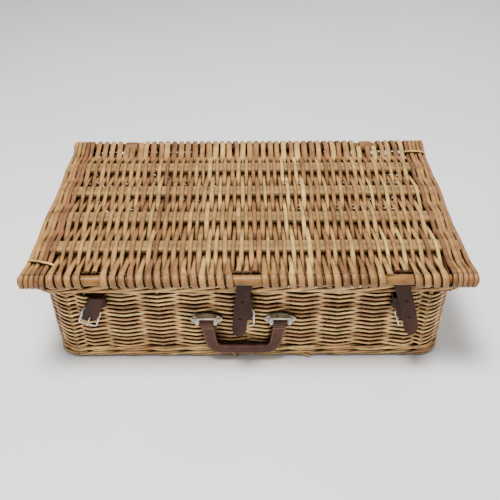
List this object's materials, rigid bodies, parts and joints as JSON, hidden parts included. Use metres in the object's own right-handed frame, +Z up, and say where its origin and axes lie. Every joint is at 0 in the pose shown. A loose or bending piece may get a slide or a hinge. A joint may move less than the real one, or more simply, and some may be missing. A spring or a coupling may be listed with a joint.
{
  "type": "wicker picnic hamper",
  "caption": "Low rectangular willow hamper with a flat woven lid hinged along the back, leather straps and buckles and a hanging leather carrying handle in front.",
  "frame": {"origin": "middle of the flat underside of the woven base, on the surface it stands on", "axes": "+X along the length of the hamper to the right seen from the front, +Y from the front, where the handle hangs, to the lid's hinge at the back, +Z up"},
  "size_m": [0.66, 0.4082, 0.1948],
  "materials": {
    "willow_weave": "buff willow rods, aged and slightly glossy",
    "willow_border": "buff willow rods, smooth and slightly glossy",
    "willow_stick": "smooth orange-brown willow stick",
    "peeled_band": "pale peeled rods",
    "willow_stake": "greenish buff willow stakes",
    "strap_leather": "dark brown strap leather, worn",
    "handle_leather": "reddish brown leather, stitched",
    "plate_metal": "dull nickel-plated casting",
    "fixing_metal": "dull nickel-plated steel",
    "buckle_wire": "bright nickel-plated wire"
  },
  "bodies": {
    "root": {"base_inner_sticks": "willow_stick", "base_outer_sticks": "willow_stick", "base_weave": "willow_weave", "bottom_waling": "willow_weave", "centre_strap_loop": "strap_leather", "corner_posts": "willow_stake", "front_border": "willow_border", "front_left_corner_border": "willow_border", "front_left_corner_siding": "willow_weave", "front_right_corner_border": "willow_border", "front_right_corner_siding": "willow_weave", "front_siding": "willow_weave", "front_stakes": "willow_stake", "handle_pins": "fixing_metal", "handle_screws": "fixing_metal", "left_border": "willow_border", "left_handle_plate": "plate_metal", "left_hinge_strap": "strap_leather", "left_siding": "willow_weave", "left_stakes": "willow_stake", "left_strap_loop": "strap_leather", "rear_border": "willow_border", "rear_left_corner_border": "willow_border", "rear_left_corner_siding": "willow_weave", "rear_right_corner_border": "willow_border", "rear_right_corner_siding": "willow_weave", "rear_siding": "willow_weave", "rear_stakes": "willow_stake", "right_border": "willow_border", "right_handle_plate": "plate_metal", "right_hinge_strap": "strap_leather", "right_siding": "willow_weave", "right_stakes": "willow_stake", "right_strap_loop": "strap_leather"},
    "lid": {"centre_tongue_loop": "strap_leather", "lid_anchor_rods": "willow_stake", "lid_corner_ties": "willow_weave", "lid_cross_sticks_1": "peeled_band", "lid_cross_sticks_2": "peeled_band", "lid_cross_sticks_3": "peeled_band", "lid_cross_sticks_4": "peeled_band", "lid_front_stick": "willow_stick", "lid_front_wraps": "willow_weave", "lid_rear_stick": "willow_stick", "lid_rear_wraps": "willow_weave", "lid_side_rods": "willow_weave", "lid_weave": "willow_weave", "right_tongue_loop": "strap_leather"},
    "handle": {"handle_grip": "handle_leather"},
    "centre_tongue": {"centre_tongue": "strap_leather"},
    "right_tongue": {"right_tongue": "strap_leather"},
    "left_buckle_strap": {"left_buckle_strap": "strap_leather"},
    "left_buckle_frame": {"left_buckle_frame": "buckle_wire"},
    "left_buckle_prong": {"left_buckle_prong": "buckle_wire"},
    "centre_buckle_strap": {"centre_buckle_strap": "strap_leather"},
    "centre_buckle_frame": {"centre_buckle_frame": "buckle_wire"},
    "centre_buckle_prong": {"centre_buckle_prong": "buckle_wire"},
    "right_buckle_strap": {"right_buckle_strap": "strap_leather"},
    "right_buckle_frame": {"right_buckle_frame": "buckle_wire"},
    "right_buckle_prong": {"right_buckle_prong": "buckle_wire"}
  },
  "joints": [
    {"name": "lid_hinge", "type": "hinge", "parent": "root", "child": "lid", "pos_m": [0, 0.192, 0.182], "axis": [-1, 0, 0], "range_deg": [0, 110]},
    {"name": "handle_swing", "type": "hinge", "parent": "root", "child": "handle", "pos_m": [-0.008, -0.1803, 0.087], "axis": [-1, 0, 0], "range_deg": [0, 120]},
    {"name": "centre_tongue_swing", "type": "hinge", "parent": "lid", "child": "centre_tongue", "pos_m": [-0.005, -0.19, 0.1704], "axis": [-1, 0, 0], "range_deg": [0, 78]},
    {"name": "right_tongue_swing", "type": "hinge", "parent": "lid", "child": "right_tongue", "pos_m": [0.222, -0.19, 0.1704], "axis": [-1, 0, 0], "range_deg": [0, 78]},
    {"name": "left_buckle_strap_swing", "type": "hinge", "parent": "root", "child": "left_buckle_strap", "pos_m": [-0.227, -0.1811, 0.1368], "axis": [-1, 0, 0], "range_deg": [0, 80]},
    {"name": "left_buckle_frame_tilt", "type": "hinge", "parent": "left_buckle_strap", "child": "left_buckle_frame", "pos_m": [-0.24311, -0.1786, 0.09693], "axis": [-0.9272, 0, 0.3746], "range_deg": [-5, 3]},
    {"name": "left_buckle_prong_swing", "type": "hinge", "parent": "left_buckle_frame", "child": "left_buckle_prong", "pos_m": [-0.24311, -0.1786, 0.09693], "axis": [-0.9272, 0, 0.3746], "range_deg": [0, 90]},
    {"name": "centre_buckle_strap_swing", "type": "hinge", "parent": "root", "child": "centre_buckle_strap", "pos_m": [-0.005, -0.1811, 0.1368], "axis": [-1, 0, 0], "range_deg": [0, 12]},
    {"name": "centre_buckle_frame_tilt", "type": "hinge", "parent": "centre_buckle_strap", "child": "centre_buckle_frame", "pos_m": [-0.005, -0.1786, 0.0938], "axis": [-1, 0, 0], "range_deg": [-5, 3]},
    {"name": "centre_buckle_prong_swing", "type": "hinge", "parent": "centre_buckle_frame", "child": "centre_buckle_prong", "pos_m": [-0.005, -0.1786, 0.0938], "axis": [-1, 0, 0], "range_deg": [0, 90]},
    {"name": "right_buckle_strap_swing", "type": "hinge", "parent": "root", "child": "right_buckle_strap", "pos_m": [0.227, -0.1811, 0.1368], "axis": [-1, 0, 0], "range_deg": [0, 12]},
    {"name": "right_buckle_frame_tilt", "type": "hinge", "parent": "right_buckle_strap", "child": "right_buckle_frame", "pos_m": [0.24029, -0.1786, 0.0959], "axis": [-0.9511, 0, -0.309], "range_deg": [-5, 3]},
    {"name": "right_buckle_prong_swing", "type": "hinge", "parent": "right_buckle_frame", "child": "right_buckle_prong", "pos_m": [0.24029, -0.1786, 0.0959], "axis": [-0.9511, 0, -0.309], "range_deg": [0, 90]}
  ]
}
